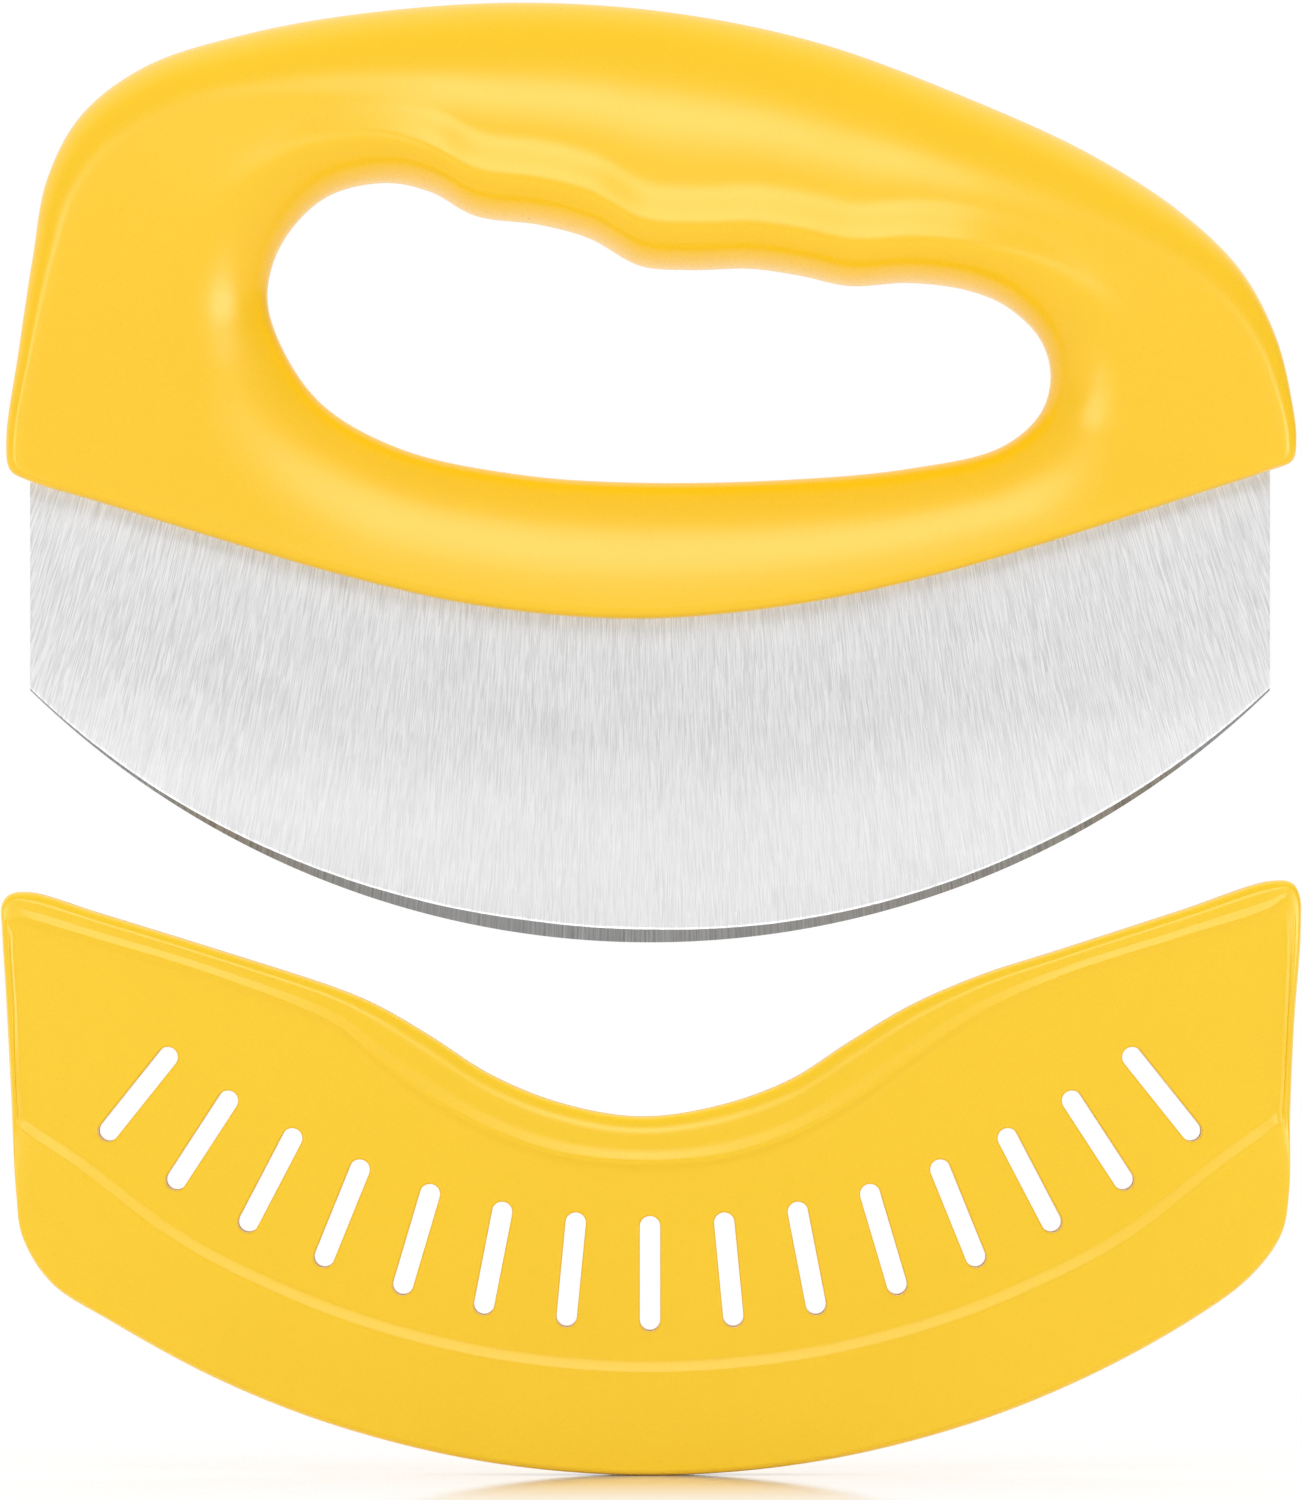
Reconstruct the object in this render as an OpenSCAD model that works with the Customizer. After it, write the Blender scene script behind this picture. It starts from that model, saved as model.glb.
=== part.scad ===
// Rocker pizza cutter: a curved blade in a D-shaped handle, with a slip-on blade cover.
// Millimetres. x runs along the blade, z is up, and the blade lies in the plane y = 0.
// The origin is the middle of the grip bar, where the palm closes round it.
// The cover is drawn as it sits on the blade, then moved down to where it lies when taken off.

/* [Handle] */
// Width of the handle from end to end
handle_w = 190; // [180:1:200]
// Height of the handle from the top of the crown to the keel
handle_h = 91; // [86:0.5:98]
// Height of the crown above the middle of the grip
crown_h = 19.5; // [16:0.5:24]
// Thickness of the grip bar from front to back
grip_t = 23.5; // [20:0.5:28]
// Thickness of the bar below the finger hole
bar_t = 14; // [11:0.5:17]
// Thickness along the keel, where the blade leaves the handle
keel_t = 15.5; // [13:0.25:17]
// Radius of the edge along the keel
keel_r = 1.6; // [0.8:0.1:2.4]
// How far the crown of the grip rounds over
crown_r = 22; // [16:0.5:24]
// Width of the section where the crown rounds over that far
crown_w = 38; // [34:0.5:42]
// How far the rim of the finger hole rounds over along the bar
rim_r = 18; // [12:0.5:20]
// How far that rim rounds over along the finger grooves
groove_r = 6; // [5:0.5:9]
// Height of the ridge along the finger grooves, over the face of the grip
ridge_h = 1; // [0:0.1:1.4]
// Width of the rise to that ridge
ridge_w = 7; // [6:0.5:9]
// Wall of the two handle shells
wall_t = 2.6; // [2:0.1:3]

/* [Blade] */
// Thickness of the blade
blade_t = 1.5; // [1:0.1:2]
// How far each end of the blade stands in from the end of the handle
blade_inset = 3.6; // [3:0.1:5]
// How far the blade reaches below the keel
blade_reach = 47.6; // [44:0.2:52]
// Radius of the cutting edge
edge_r = 131; // [128:1:136]
// Height of the ground bevel along the cutting edge
bevel_w = 2; // [1:0.1:3]

/* [Joints of the handle] */
// Diameter of the pins on the front shell
pin_d = 4.4; // [3:0.1:5]
// Diameter of the bosses that stand in both shells
boss_d = 8; // [7:0.1:9]
// How far a pin reaches into the rear shell
pin_reach = 3; // [2:0.1:3.5]
// Gap round a pin, in the blade and in its socket
pin_gap = 0.1; // [0.06:0.01:0.2]
// Gap between the edges of the blade and the pocket for its tang
tang_gap = 0.2; // [0.1:0.05:0.4]

/* [Cover] */
// How much further than the handle the cover reaches at each end
cover_over = 0.9; // [0.4:0.1:1.6]
// Height of the cover
cover_h = 87.8; // [86:0.1:90]
// Width of the border from the edge of the pocket's wall to the bottom of the cover
border_w = 17; // [15:0.5:19]
// Wall of the cover beyond the cutting edge
pocket_wall = 1.2; // [0.8:0.1:2.4]
// Gap between the cutting edge and the end of its pocket
tip_gap = 1.3; // [0.5:0.1:2]
// Gap between each end of the blade and its pocket
side_gap = 0.5; // [0.3:0.1:0.8]
// Gap between each face of the blade and its pocket
face_gap = 0.3; // [0.2:0.05:0.5]
// Thickness of the panel over the blade
panel_t = 6.4; // [5.6:0.1:7.6]
// Thickness of the border below the panel and of the rim at the ends
border_t = 7.2; // [6.8:0.1:7.8]
// Thickness of the lip in the middle of the dip
lip_t = 8.2; // [7.6:0.1:9]
// Height of the lip in the middle of the dip
lip_w = 10.3; // [8:0.1:12]
// Radius of the outer edge of the cover
cover_r = 1; // [0.6:0.1:1.4]
// Depth of the dip in the top of the cover, below the gap under the keel
dip_d = 12.7; // [10:0.1:15]
// Gap between the keel and the top of the cover when it is on
keel_gap = 1.6; // [1.4:0.1:2.4]
// How far the cover is drawn down off the blade
cover_travel = 59; // [54:1:70]

/* [Drain slots of the cover] */
// Number of drain slots
drain_n = 15; // [5:1:17]
// Width of a drain slot
drain_w = 3; // [2:0.1:3.6]
// Length of a drain slot
drain_l = 17; // [8:0.5:19]
// Distance from the end of the cover to the middle of the outermost drain slot
drain_inset = 20.5; // [19:0.5:30]

/* [Joints of the cover] */
// Diameter of the pins on the front half of the cover
peg_d = 3; // [2:0.1:4]
// How far a pin reaches into the rear half
peg_reach = 1.4; // [1:0.1:1.6]
// Gap round a pin in its socket
peg_gap = 0.08; // [0.06:0.01:0.12]
// Number of pins along the border
peg_n = 5; // [3:1:7]
// Angle from one pin to the next
peg_pitch = 15; // [8:0.5:18]

/* [Hidden] */

plastic = "#fdcd2e";
steel = "#d9dadc";

// How far a cutter runs past what it cuts
over = 1;
// Flat beside the seam between the two shells
seam_flat = 0.5;
// Facets of a full circle
$fn = 120;
// Steps round an edge and across a face, outside and inside a shell
round_steps = 4;
face_steps = 3;
inner_round_steps = 2;
inner_face_steps = 2;
// Steps from one point of the cover's outline to the next
outline_steps = 3;
// Share of a section that its two rounded edges may take up
round_share = 0.95;
// Power of the swell that the rounding of the crown grows by
crown_power = 1.4;
// Power of the share of the way to the hole that the thickness grows by
swell_power = 0.45;
// Distance from the hole to the ridge, as a share of how far the rim rounds over at the grooves
ridge_share = 0.9;
// Power of the distance that spaces the knots of a curve
knot_power = 0.5;

// The crown from the left end over the top to the right end.
// Each row is x as a share of handle_w, depth below the crown as a share of handle_h,
// and the swell as a share of the way from keel_t to grip_t.
crown_shares = [
    [-0.498, 0.708, 0.04], [-0.489, 0.572, 0.10], [-0.478, 0.417, 0.20], [-0.467, 0.287, 0.32],
    [-0.441, 0.183, 0.45], [-0.392, 0.104, 0.60], [-0.311, 0.050, 0.80], [-0.217, 0.016, 0.95],
    [-0.101, 0.000, 1.00], [0.016, 0.016, 1.00], [0.132, 0.066, 1.00], [0.248, 0.156, 0.95],
    [0.342, 0.246, 0.80], [0.411, 0.339, 0.60], [0.458, 0.436, 0.40], [0.485, 0.546, 0.22],
    [0.497, 0.650, 0.10], [0.500, 0.708, 0.04]
];
// The keel from the right end to the left end, in the same shares
keel_shares = [
    [0.497, 0.744, 0], [0.481, 0.758, 0], [0.411, 0.806, 0], [0.318, 0.869, 0], [0.225, 0.926, 0],
    [0.116, 0.975, 0], [-0.008, 0.999, 0], [-0.132, 0.978, 0], [-0.241, 0.927, 0],
    [-0.334, 0.870, 0], [-0.427, 0.810, 0], [-0.481, 0.776, 0], [-0.495, 0.759, 0]
];
// The finger hole from its left end over the four finger grooves and back along the bar.
// The last share is the swell from bar_t to grip_t.
hole_shares = [
    [-0.297, 0.475, 0.25], [-0.286, 0.391, 0.45], [-0.252, 0.316, 0.70], [-0.206, 0.292, 0.90],
    [-0.171, 0.306, 1.00], [-0.136, 0.345, 1.00], [-0.085, 0.360, 1.00], [-0.047, 0.382, 1.00],
    [-0.008, 0.426, 1.00], [0.031, 0.433, 1.00], [0.078, 0.431, 1.00], [0.116, 0.442, 1.00],
    [0.155, 0.459, 1.00], [0.202, 0.454, 1.00], [0.248, 0.467, 0.95], [0.278, 0.494, 0.80],
    [0.303, 0.546, 0.58], [0.311, 0.605, 0.35], [0.303, 0.666, 0.18], [0.272, 0.721, 0.06],
    [0.202, 0.755, 0.00], [0.109, 0.773, 0.00], [-0.008, 0.778, 0.00], [-0.101, 0.765, 0.00],
    [-0.194, 0.723, 0.00], [-0.255, 0.650, 0.05], [-0.287, 0.553, 0.12]
];
// Where the sections of the handle run. Each row is a place on the outside curve, the place on
// the hole's curve that faces it, and the number of steps to the next row. A place counts the
// points of its table from 0, and its fraction is the share of the way to the next point.
section_shares = [
    [0, -0.60, 2], [1, -0.25, 2], [2, 0.25, 4], [4, 1.10, 4], [6, 2.30, 3], [7, 3.10, 6],
    [8, 5.50, 8], [9, 8.20, 8], [10, 11.20, 7], [11, 13.60, 5], [12, 15.00, 3], [13, 15.80, 3],
    [14.5, 16.60, 3], [16, 17.15, 2], [17, 17.50, 2], [18, 17.90, 1], [19, 18.35, 2],
    [20, 18.90, 3], [22, 20.35, 4], [24, 22.00, 6], [26, 23.90, 6], [28, 25.25, 5],
    [29, 25.60, 2], [30, 26.00, 2], [31, 26.40, 0]
];
// Bosses through the tang and in the grip: place outside, place on the hole, share of the way across
tang_boss_shares = [
    [0.3, -0.5, 0.42], [27.3, 24.9, 0.50], [24, 22, 0.52], [21.8, 20.2, 0.58], [18.6, 18.2, 0.50]
];
grip_boss_shares = [
    [4.2, 1.3, 0.50], [7.6, 4.6, 0.52], [9.4, 9.3, 0.52], [11.8, 14.8, 0.50]
];
// The tang from its left shoulder to its right one, in shares of handle_w and of handle_h
tang_shares = [
    [-0.450, 0.725], [-0.450, 0.560], [-0.347, 0.560], [-0.232, 0.780], [-0.132, 0.819],
    [0.105, 0.825], [0.232, 0.797], [0.305, 0.747], [0.368, 0.615], [0.450, 0.615], [0.450, 0.725]
];

// The dip of the cover: x as a share of handle_w, depth below the gap as a share of dip_d,
// height of the lip as a share of lip_w, and share of that height down to the foot of the lip
dip_shares = [
    [-0.241, -0.48, 0.66, 0.97], [-0.210, -0.28, 0.97, 0.90], [-0.171, 0.06, 1.17, 0.84],
    [-0.124, 0.51, 1.13, 0.80], [-0.070, 0.84, 1.09, 0.77], [-0.008, 1.00, 1.00, 0.76],
    [0.054, 0.87, 1.09, 0.77], [0.109, 0.57, 1.13, 0.80], [0.155, 0.13, 1.17, 0.84],
    [0.202, -0.29, 0.97, 0.90], [0.256, -0.64, 0.66, 0.97]
];
// Rows of keel_shares that the top of the cover follows on the left and on the right of the dip
left_slant_rows = [11, 10, 9];
right_slant_rows = [3, 2, 1];
// The ends of the cover: x as a share of cover_w, then depth below the cover's top as a share of
// cover_h, for the outline and for the edge of the panel
right_end_shares = [
    [0.493, 0.002, 0.484, 0.048], [0.499, 0.022, 0.488, 0.062], [0.500, 0.086, 0.489, 0.120],
    [0.495, 0.237, 0.486, 0.245], [0.492, 0.388, 0.483, 0.372], [0.491, 0.523, 0.479, 0.388],
    [0.485, 0.593, 0.468, 0.408], [0.461, 0.664, 0.436, 0.458]
];
left_end_shares = [
    [-0.460, 0.674, -0.436, 0.462], [-0.482, 0.598, -0.468, 0.416], [-0.487, 0.523, -0.479, 0.398],
    [-0.491, 0.355, -0.483, 0.355], [-0.495, 0.187, -0.486, 0.215], [-0.498, 0.077, -0.489, 0.110],
    [-0.498, 0.039, -0.488, 0.084], [-0.492, 0.022, -0.482, 0.078]
];
// The bottom of the cover: x of each point of the arc as a share of cover_w
arc_shares = [0.415, 0.331, 0.238, 0.123, 0, -0.123, -0.238, -0.331, -0.415];
// Height of the lip at the ends, as a share of lip_w
lip_end_share = 0.5;
// Share of the lip's height over which it rounds up from the slot to its crest
lip_round_share = 0.3;
// How far the face of the lip leans back at its edge, as a share of its height over the panel
lip_lean_share = 0.6;
// Place on the lip's face where it turns out further, and the share of its lean up to there
turn_share = 0.5;
turn_lean_share = 0.25;
// Height of the ledge below the foot of the lip and of the rim, as a share of their height over
// the panel
ledge_share = 0.3;
// Width of the step at the foot of the lip and at the edge of the panel
step_w = 1.2;
// Flat on each side of the seam of the cover, over the half slot
cover_flat = 1.5;

keel_z = crown_h - handle_h;
blade_w = handle_w - 2 * blade_inset;
edge_z = keel_z - blade_reach;
arc_z = edge_z + edge_r;
slot_w = blade_t + 2 * face_gap;
cover_w = handle_w + 2 * cover_over;
panel_r = edge_r + tip_gap + pocket_wall;
outline_r = panel_r + border_w;
cover_top_z = crown_h - keel_shares[right_slant_rows[2]][1] * handle_h - keel_gap;
foot_mid_share = min([for (s = dip_shares) s[3]]);
foot_end_share = max([for (s = dip_shares) s[3]]);
dip_z = keel_z - keel_gap;
drain_r = (panel_r + arc_z - dip_z + dip_d + lip_w) / 2;
drain_pitch = 2 * asin((cover_w / 2 - drain_inset) / drain_r) / (drain_n - 1);
peg_r = panel_r + border_w / 2;

function mix(a, b, share) = a + (b - a) * share;
function smooth(u) = u * u * (3 - 2 * u);
function flat(p) = [p[0], p[1]];
function knot(p, q) = pow(norm(flat(q) - flat(p)), knot_power);
function slide(a, b, ta, tb, t) = (a * (tb - t) + b * (t - ta)) / (tb - ta);

// Point at a place on the smooth closed curve through rows of points
function curve_at(rows, place) =
    let (
        n = len(rows),
        i = floor(place),
        p = [for (k = [-1 : 2]) rows[(i + k + n) % n]],
        t1 = knot(p[0], p[1]),
        t2 = t1 + knot(p[1], p[2]),
        t3 = t2 + knot(p[2], p[3]),
        t = mix(t1, t2, place - i),
        a = slide(p[0], p[1], 0, t1, t),
        b = slide(p[1], p[2], t1, t2, t),
        c = slide(p[2], p[3], t2, t3, t)
    )
    slide(slide(a, b, 0, t2, t), slide(b, c, t1, t3, t), t1, t2, t);

// Rows of the handle's curves in millimetres: x, z and half the thickness, then the swell
function handle_rows(shares, thin, thick) = [
    for (s = shares) [s[0] * handle_w, crown_h - s[1] * handle_h, mix(thin, thick, s[2]) / 2, s[2]]
];
outer_rows = handle_rows(concat(crown_shares, keel_shares), keel_t, grip_t);
hole_rows = handle_rows(hole_shares, bar_t, grip_t);

// Half the thickness of a section of width d at a distance s from the outside
function section_half(outer, hole, d, s) =
    let (rise = 1 - (d - ridge_share * groove_r - s) / ridge_w)
    mix(outer[2], hole[2], pow(s / d, swell_power))
    + ridge_h * hole[3] * smooth(min(max(rise, 0), 1));

// Section of a shell from the outside to the hole: distance across and height over the seam.
// An inset moves it in from the outer skin, to the cavity.
function section(outer, hole, inset, rounds, faces) =
    let (
        d = norm(flat(hole) - flat(outer)),
        k = outer[3],
        rim = mix(rim_r, groove_r, hole[3]),
        rise = mix(keel_t / 2 - keel_r, seam_flat, k),
        crown = mix(keel_r, crown_r * min(1, d / crown_w), pow(max(k, 0), crown_power)),
        fit = min(1, round_share * d / (crown + rim)),
        ro = max(crown * fit - inset, keel_r / 2),
        ri = rim * fit - inset / 2,
        top = function (s) section_half(outer, hole, d, s) - inset,
        low = max(min(rise, top(inset + ro) - ro), seam_flat)
    )
    concat(
        [[inset, 0]],
        [for (j = [0 : rounds])
            let (s = inset + ro * (1 - cos(90 * j / rounds)))
            [s, low + (top(s) - low) * sin(90 * j / rounds)]],
        [for (j = [1 : faces - 1])
            let (s = mix(inset + ro, d - inset - ri, j / faces))
            [s, top(s)]],
        [for (j = [rounds : -1 : 0])
            let (s = d - inset - ri * (1 - cos(90 * j / rounds)))
            [s, seam_flat + (top(s) - seam_flat) * sin(90 * j / rounds)]],
        [[d - inset, 0]]
    );

// Place of a point of a section in the handle, on the front side
function place_of(outer, hole, p) =
    let (d = norm(flat(hole) - flat(outer)), q = mix(flat(outer), flat(hole), p[0] / d))
    [q[0], -p[1], q[1]];

function shell_ring(outer, hole) =
    let (
        skin = section(outer, hole, 0, round_steps, face_steps),
        cavity = section(outer, hole, wall_t, inner_round_steps, inner_face_steps),
        n = len(cavity)
    )
    [for (p = concat(skin, [for (j = [n - 1 : -1 : 0]) cavity[j]])) place_of(outer, hole, p)];

shell_rings = [
    for (r = [0 : len(section_shares) - 2])
        let (a = section_shares[r], b = section_shares[r + 1])
        for (j = [0 : a[2] - 1])
            let (
                outer = curve_at(outer_rows, mix(a[0], b[0], j / a[2])),
                hole = curve_at(hole_rows, mix(a[1], b[1], j / a[2]))
            )
            shell_ring(outer, hole)
];

// Triangles between neighbouring rings, and along a ring as far as its last cell
function ring_faces(n, m, cells) = [
    for (i = [0 : n - 1]) for (j = [0 : cells - 1])
        let (
            a = i * m + j,
            b = ((i + 1) % n) * m + j,
            c = ((i + 1) % n) * m + (j + 1) % m,
            d = i * m + (j + 1) % m
        )
        each [[a, b, c], [a, c, d]]
];

// Solid inside rings that close on themselves, all the way round a loop
module loop_solid(rings) {
    n = len(rings);
    m = len(rings[0]);
    polyhedron(points = [for (ring = rings) each ring], faces = ring_faces(n, m, m));
}

// Triangles of a flat cap over one ring line: a strip between the top chain of rings, which starts
// at ring from and is count rings long, and the bottom chain, which runs back from the same ring
function cap_faces(n, m, line, from, count, turned) = [
    for (k = [0 : count - 1])
        let (
            step = (n - count) / count,
            a = ((from + k) % n) * m + line,
            b = ((from + k + 1) % n) * m + line,
            c = ((from - round(k * step) + n) % n) * m + line,
            d = ((from - round((k + 1) * step) + n) % n) * m + line
        )
        for (face = [if (a != c) [a, b, c], if (b != d && c != d) [c, b, d]])
            turned ? [face[0], face[2], face[1]] : face
];

// Solid between a flat back and a flat front, with rings from the one to the other at its edge
module plate_solid(rings, from, count) {
    n = len(rings);
    m = len(rings[0]);
    polyhedron(
        points = [for (ring = rings) each ring],
        faces = concat(
            ring_faces(n, m, m - 1),
            cap_faces(n, m, 0, from, count, true),
            cap_faces(n, m, m - 1, from, count, false)
        )
    );
}

// Round bar along y at a point of the blade's plane, from one depth in front to another
module bar(at, d, from, to) {
    translate([at[0], -from, at[1]]) rotate([90, 0, 0]) cylinder(d = d, h = to - from);
}

// Place of a boss in the blade's plane, with half the thickness of the handle there
function boss_site(row) =
    let (
        outer = curve_at(outer_rows, row[0]),
        hole = curve_at(hole_rows, row[1]),
        d = norm(flat(hole) - flat(outer)),
        q = mix(flat(outer), flat(hole), row[2])
    )
    [q[0], q[1], section_half(outer, hole, d, row[2] * d)];
tang_sites = [for (row = tang_boss_shares) boss_site(row)];
grip_sites = [for (row = grip_boss_shares) boss_site(row)];

// Outline of the blade in its plane, grown by a gap, with its foot below the cutting edge
module blade_outline(gap) {
    half = blade_w / 2 + gap;
    foot = edge_z - over;
    shoulder = crown_h - tang_shares[0][1] * handle_h + gap;
    polygon(concat(
        [[-half, foot], [-half, shoulder]],
        [for (s = tang_shares) [s[0] * handle_w + gap * sign(s[0]), crown_h - s[1] * handle_h + gap]],
        [[half, shoulder], [half, foot]]
    ));
}

module along_y(h) {
    rotate([90, 0, 0]) linear_extrude(height = h, center = true) children();
}

// Disc with the two ground bevels that meet in the cutting edge
module edge_disc() {
    translate([0, 0, arc_z]) rotate([90, 0, 0]) rotate_extrude($fn = 360) polygon([
        [0, -blade_t / 2], [edge_r - bevel_w, -blade_t / 2], [edge_r, 0],
        [edge_r - bevel_w, blade_t / 2], [0, blade_t / 2]
    ]);
}

module blade() color(steel) difference() {
    intersection() {
        edge_disc();
        along_y(blade_t + 2 * over) blade_outline(0);
    }
    for (site = tang_sites) bar(site, pin_d + 2 * pin_gap, -blade_t, blade_t);
}

// Bosses from the wall of a shell to the seam
module bosses() {
    for (site = concat(tang_sites, grip_sites)) bar(site, boss_d, 0, site[2] - wall_t / 2);
}

module tang_pocket() {
    along_y(blade_t) blade_outline(tang_gap);
}

module handle_front_shell() color(plastic) {
    difference() {
        union() {
            loop_solid(shell_rings);
            bosses();
        }
        tang_pocket();
    }
    for (site = tang_sites) bar(site, pin_d, -pin_reach, site[2] - wall_t / 2);
    for (site = grip_sites) bar(site, pin_d, -pin_reach, site[2] - wall_t / 2);
}

module handle_rear_shell() color(plastic) mirror([0, 1, 0]) difference() {
    union() {
        loop_solid(shell_rings);
        bosses();
    }
    tang_pocket();
    for (site = concat(tang_sites, grip_sites)) {
        bar(site, pin_d + 2 * pin_gap, -over, pin_reach + pin_gap);
    }
}

// Point of the arc of a radius round the cutting edge's centre, at a distance x from it
function arc_point(r, x) = [x, arc_z - sqrt(r * r - x * x)];

// Row of the cover: outline x and z, panel x and z, half thickness and rounding of the edge,
// half thickness at the foot of the step, and share of the section down to that foot
function cover_row(out, in, half, r, foot, share) =
    [out[0], out[1], in[0], in[1], half, r, foot, share];

function lip_row(x, z, height, share) =
    let (
        rise = (1 - share) / (1 - foot_mid_share),
        thick = mix(border_t, lip_t, rise),
        foot = mix(panel_t, thick, ledge_share * rise) / 2
    )
    cover_row([x, z], [x, z - height], thick / 2, height * lip_round_share, foot, share);
function slant_row(s) =
    lip_row(s[0] * handle_w, crown_h - s[1] * handle_h - keel_gap, lip_w * lip_end_share,
        foot_end_share);
function rim_row(out, in) =
    cover_row(out, in, border_t / 2, cover_r, mix(panel_t, border_t, ledge_share) / 2,
        1 - step_w / norm(in - out) / 2);
function end_row(s) =
    rim_row([s[0] * cover_w, cover_top_z - s[1] * cover_h],
        [s[2] * cover_w, cover_top_z - s[3] * cover_h]);
function border_row(s) =
    let (x = s * cover_w)
    rim_row(arc_point(outline_r, x), arc_point(panel_r, x * panel_r / outline_r));

cover_rows = concat(
    [for (i = left_slant_rows) slant_row(keel_shares[i])],
    [for (s = dip_shares) lip_row(s[0] * handle_w, dip_z - s[1] * dip_d, s[2] * lip_w, s[3])],
    [for (i = right_slant_rows) slant_row(keel_shares[i])],
    [for (s = right_end_shares) end_row(s)],
    [for (s = arc_shares) border_row(s)],
    [for (s = left_end_shares) end_row(s)]
);

function cover_ring(row) =
    let (
        out = [row[0], row[1]],
        in = [row[2], row[3]],
        d = norm(in - out),
        r = min(row[5], d / 2),
        foot = d * row[7],
        crest = max(foot - step_w, (r + foot) / 2),
        edge = row[4] - lip_lean_share * (row[4] - panel_t / 2),
        low = min(cover_flat, edge - r / 2),
        points = concat(
            [[0, 0]],
            [for (j = [0 : round_steps])
                let (turn = 90 * j / round_steps)
                [r * (1 - cos(turn)), low + (edge - low) * sin(turn)]],
            [[mix(r, crest, turn_share), mix(edge, row[4], turn_lean_share)],
             [crest, row[4]], [foot, row[6]], [d, panel_t / 2]]
        )
    )
    [for (p = points) let (q = mix(out, in, p[0] / d)) [q[0], -p[1], q[1]]];

cover_rings = [
    for (i = [0 : len(cover_rows) * outline_steps - 1])
        cover_ring(curve_at(cover_rows, i / outline_steps))
];
// The top chain of rings starts and ends half way along the tables of the two ends
top_from = (len(cover_rows) - len(left_end_shares) / 2) * outline_steps;
top_count = (len(cover_rows) - len(arc_shares) - len(left_end_shares)) * outline_steps;

// Half of the pocket for the blade, open at the top
module blade_pocket() {
    half = blade_w / 2 + side_gap;
    reach = edge_r + tip_gap;
    intersection() {
        translate([-half, -slot_w / 2, edge_z - over - tip_gap])
            cube([2 * half, slot_w, blade_reach + handle_h]);
        translate([0, 0, arc_z]) rotate([90, 0, 0])
            cylinder(r = reach, h = slot_w + over, center = true);
    }
}

// Slot with round ends, across the panel and along a radius of the cutting edge's arc
module drain(angle) {
    straight = drain_l - drain_w;
    translate([0, 0, arc_z]) rotate([0, angle, 0]) translate([0, 0, -drain_r]) rotate([90, 0, 0]) {
        cube([drain_w, straight, panel_t + 2 * over], center = true);
        for (side = [-1, 1]) translate([0, side * straight / 2, 0])
            cylinder(d = drain_w, h = panel_t + 2 * over, center = true);
    }
}

function peg_site(i) =
    let (angle = (i - (peg_n - 1) / 2) * peg_pitch)
    [peg_r * sin(angle), arc_z - peg_r * cos(angle)];

module cover_half() difference() {
    plate_solid(cover_rings, top_from, top_count);
    blade_pocket();
    for (i = [0 : drain_n - 1]) drain((i - (drain_n - 1) / 2) * drain_pitch);
}

module cover_front_half() color(plastic) translate([0, 0, -cover_travel]) {
    cover_half();
    for (i = [0 : peg_n - 1]) bar(peg_site(i), peg_d, -peg_reach, cover_flat);
}

module cover_rear_half() color(plastic) translate([0, 0, -cover_travel]) mirror([0, 1, 0])
    difference() {
        cover_half();
        for (i = [0 : peg_n - 1]) bar(peg_site(i), peg_d + 2 * peg_gap, -over, peg_reach + peg_gap);
    }

blade();
handle_front_shell();
handle_rear_shell();
cover_front_half();
cover_rear_half();
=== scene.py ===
"""Rocker pizza cutter with a slip-on blade cover: shapes, finishes, studio and camera.

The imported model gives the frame. Everything is in metres: x runs along the blade, z is up, and
the blade lies in the plane y = 0.
"""

import math

import bmesh
import bpy
from bpy.props import FloatProperty, FloatVectorProperty, IntProperty, PointerProperty
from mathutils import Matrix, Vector


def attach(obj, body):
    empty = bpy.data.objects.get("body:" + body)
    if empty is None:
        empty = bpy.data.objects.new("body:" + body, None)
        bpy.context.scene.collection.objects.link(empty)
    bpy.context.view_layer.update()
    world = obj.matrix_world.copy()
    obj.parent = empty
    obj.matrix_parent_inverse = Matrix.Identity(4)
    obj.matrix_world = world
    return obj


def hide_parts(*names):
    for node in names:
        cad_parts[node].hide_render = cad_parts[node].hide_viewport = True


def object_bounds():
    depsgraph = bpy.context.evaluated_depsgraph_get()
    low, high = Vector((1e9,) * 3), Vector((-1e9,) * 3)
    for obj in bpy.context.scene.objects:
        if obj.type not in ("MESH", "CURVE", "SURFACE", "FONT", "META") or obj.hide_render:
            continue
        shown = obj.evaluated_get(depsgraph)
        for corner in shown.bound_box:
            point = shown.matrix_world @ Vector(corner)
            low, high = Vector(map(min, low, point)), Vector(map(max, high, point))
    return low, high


bl_info = {
    "name": "Rocker pizza cutter",
    "version": (1, 0, 0),
    "blender": (4, 5, 0),
    "location": "View3D > Sidebar > Cutter",
    "description": "Models a rocker pizza cutter with its blade cover and a studio to show it in",
    "category": "Object",
}

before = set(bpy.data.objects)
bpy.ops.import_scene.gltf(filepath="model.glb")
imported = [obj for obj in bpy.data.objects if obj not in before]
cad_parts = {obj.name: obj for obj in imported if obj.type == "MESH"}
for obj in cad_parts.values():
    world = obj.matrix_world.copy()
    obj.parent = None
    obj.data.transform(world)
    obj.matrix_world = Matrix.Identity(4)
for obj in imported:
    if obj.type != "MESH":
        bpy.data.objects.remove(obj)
CAD_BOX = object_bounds()

# The photograph's frame, its scale at the blade and the place of the origin in it
PHOTO_W, PHOTO_H = 1302, 1500
PHOTO_ORIGIN = (650, 135)
METRES_PER_PIXEL = 0.000147516

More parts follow.
